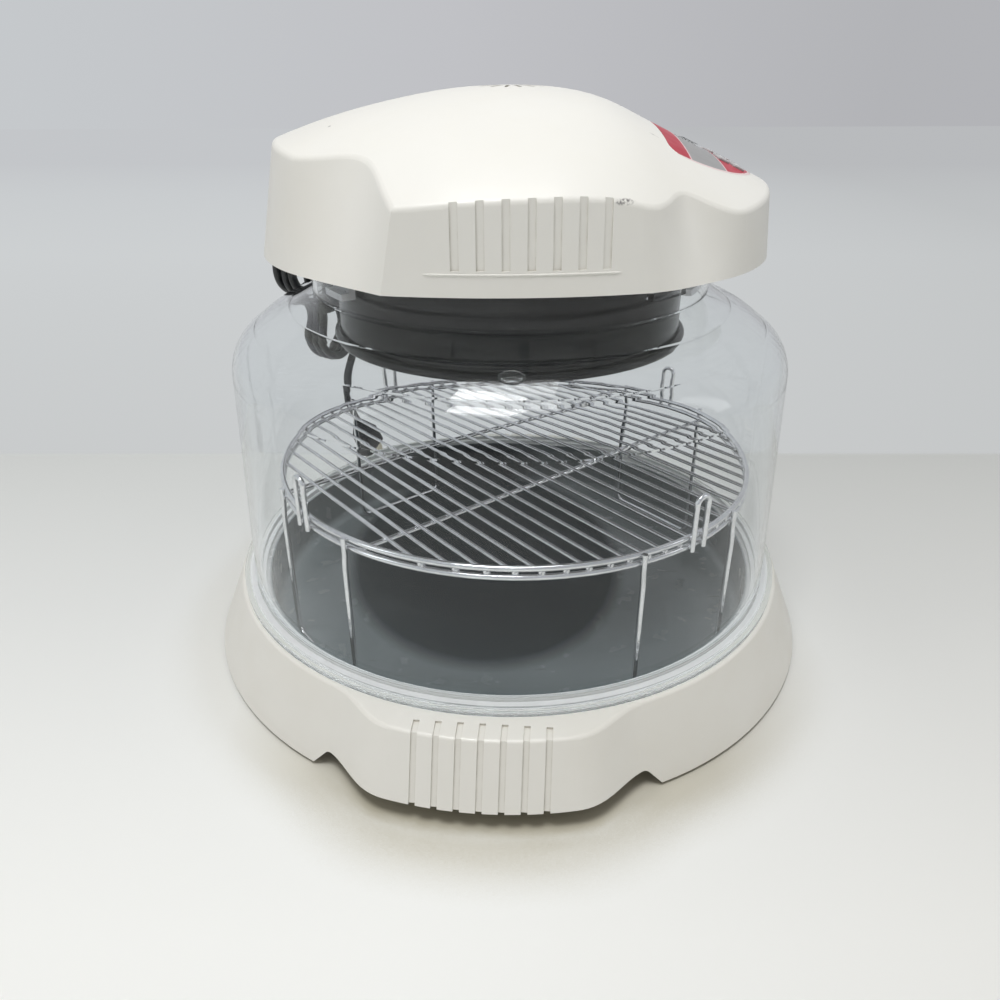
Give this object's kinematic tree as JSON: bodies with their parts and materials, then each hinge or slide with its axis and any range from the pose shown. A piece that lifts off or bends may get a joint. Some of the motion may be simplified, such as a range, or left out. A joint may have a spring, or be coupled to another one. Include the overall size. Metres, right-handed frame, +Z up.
{
  "type": "halogen oven",
  "caption": "Countertop convection oven with a clear dome on a round base, a lift-off powered head with heater and fan, a wire rack and a liner pan.",
  "frame": {"origin": "on the oven's axis, on the table under the feet", "axes": "+Z up along the dome's axis, +X from the axis to the control panel on the head, +Y away from the viewer who faces the ribbed side grip, near enough along the base's two grip lobes"},
  "size_m": [0.386, 0.4138, 0.3214],
  "materials": {
    "white_plastic": "satin gloss moulding",
    "foot_rubber": "matt",
    "pan_enamel": "gloss black enamel",
    "dome_clear": "clear, slightly blue grey",
    "steel": "plain steel",
    "seal_rubber": "matt silicone",
    "housing_enamel": "gloss black",
    "aluminium": "bright sheet",
    "element_steel": "dark oxidised",
    "rack_chrome": "bright wire",
    "core_iron": "stacked sheet",
    "coil_copper": "enamelled copper wire",
    "panel_red": "printed film",
    "display_dark": "dark window",
    "board_green": "circuit board",
    "switch_black": "matt",
    "key_grey": "satin",
    "cord_rubber": "satin black",
    "prong_brass": "nickel-like bright"
  },
  "bodies": {
    "base": {"base_ring": "white_plastic", "base_feet": "foot_rubber"},
    "pan": {"liner_pan": "pan_enamel"},
    "rack": {"rack_rings": "rack_chrome", "rack_grate": "rack_chrome", "rack_bars": "rack_chrome", "rack_legs": "rack_chrome", "rack_hairpins": "rack_chrome"},
    "dome": {"dome_shell": "dome_clear"},
    "seal": {"seal_ring": "seal_rubber"},
    "head": {"head_cover": "white_plastic", "underside_tray": "white_plastic", "tray_screws": "steel", "lock_hooks": "steel", "heater_housing": "housing_enamel", "reflector_plate": "aluminium", "heating_element": "element_steel", "element_clips": "steel", "heater_guard": "rack_chrome", "motor_bracket": "steel", "motor_frame": "core_iron", "motor_coil": "coil_copper", "control_board": "board_green", "display_module": "display_dark", "key_switches": "switch_black", "panel_overlay": "panel_red", "display_window": "display_dark", "cord_gland": "cord_rubber", "cord_lead": "cord_rubber", "cord_hank": "cord_rubber", "cord_tie": "cord_rubber", "cord_tail": "cord_rubber", "plug_body": "cord_rubber", "plug_prongs": "prong_brass"},
    "fan": {"motor_shaft": "steel", "convection_fan": "aluminium", "cooling_fan": "aluminium"},
    "key_1_cap": {"key_1": "key_grey"},
    "key_2_cap": {"key_2": "key_grey"},
    "key_3_cap": {"key_3": "key_grey"},
    "key_4_cap": {"key_4": "key_grey"},
    "key_5_cap": {"key_5": "key_grey"},
    "key_6_cap": {"key_6": "key_grey"},
    "key_7_cap": {"key_7": "key_grey"},
    "key_8_cap": {"key_8": "key_grey"}
  },
  "joints": [
    {"name": "pan_lift", "type": "slide", "parent": "base", "child": "pan", "axis": [0, 0, 1], "range_m": [0, 0.06]},
    {"name": "rack_lift", "type": "slide", "parent": "pan", "child": "rack", "axis": [0, 0, 1], "range_m": [0, 0.045]},
    {"name": "dome_lift", "type": "slide", "parent": "pan", "child": "dome", "axis": [0, 0, 1], "range_m": [0, 0.2]},
    {"name": "head_lift", "type": "slide", "parent": "dome", "child": "seal", "axis": [0, 0, 1], "range_m": [0, 0.06]},
    {"name": "head_turn", "type": "hinge", "parent": "seal", "child": "head", "pos_m": [0, 0, 0.241], "axis": [0, 0, -1], "range_deg": [0, 18]},
    {"name": "fan_spin", "type": "hinge", "parent": "head", "child": "fan", "pos_m": [0, 0, 0.2397], "axis": [0, 0, 1], "continuous": true},
    {"name": "key_1_press", "type": "slide", "parent": "head", "child": "key_1_cap", "axis": [-0.4067, -0.124, -0.9051], "range_m": [0, 0.0005], "stiffness_N_per_m": 400},
    {"name": "key_2_press", "type": "slide", "parent": "head", "child": "key_2_cap", "axis": [-0.4067, -0.0414, -0.9126], "range_m": [0, 0.0005], "stiffness_N_per_m": 400},
    {"name": "key_3_press", "type": "slide", "parent": "head", "child": "key_3_cap", "axis": [-0.4067, 0.0414, -0.9126], "range_m": [0, 0.0005], "stiffness_N_per_m": 400},
    {"name": "key_4_press", "type": "slide", "parent": "head", "child": "key_4_cap", "axis": [-0.4067, 0.124, -0.9051], "range_m": [0, 0.0005], "stiffness_N_per_m": 400},
    {"name": "key_5_press", "type": "slide", "parent": "head", "child": "key_5_cap", "axis": [-0.4067, -0.124, -0.9051], "range_m": [0, 0.0005], "stiffness_N_per_m": 400},
    {"name": "key_6_press", "type": "slide", "parent": "head", "child": "key_6_cap", "axis": [-0.4067, -0.0414, -0.9126], "range_m": [0, 0.0005], "stiffness_N_per_m": 400},
    {"name": "key_7_press", "type": "slide", "parent": "head", "child": "key_7_cap", "axis": [-0.4067, 0.0414, -0.9126], "range_m": [0, 0.0005], "stiffness_N_per_m": 400},
    {"name": "key_8_press", "type": "slide", "parent": "head", "child": "key_8_cap", "axis": [-0.4067, 0.124, -0.9051], "range_m": [0, 0.0005], "stiffness_N_per_m": 400}
  ]
}
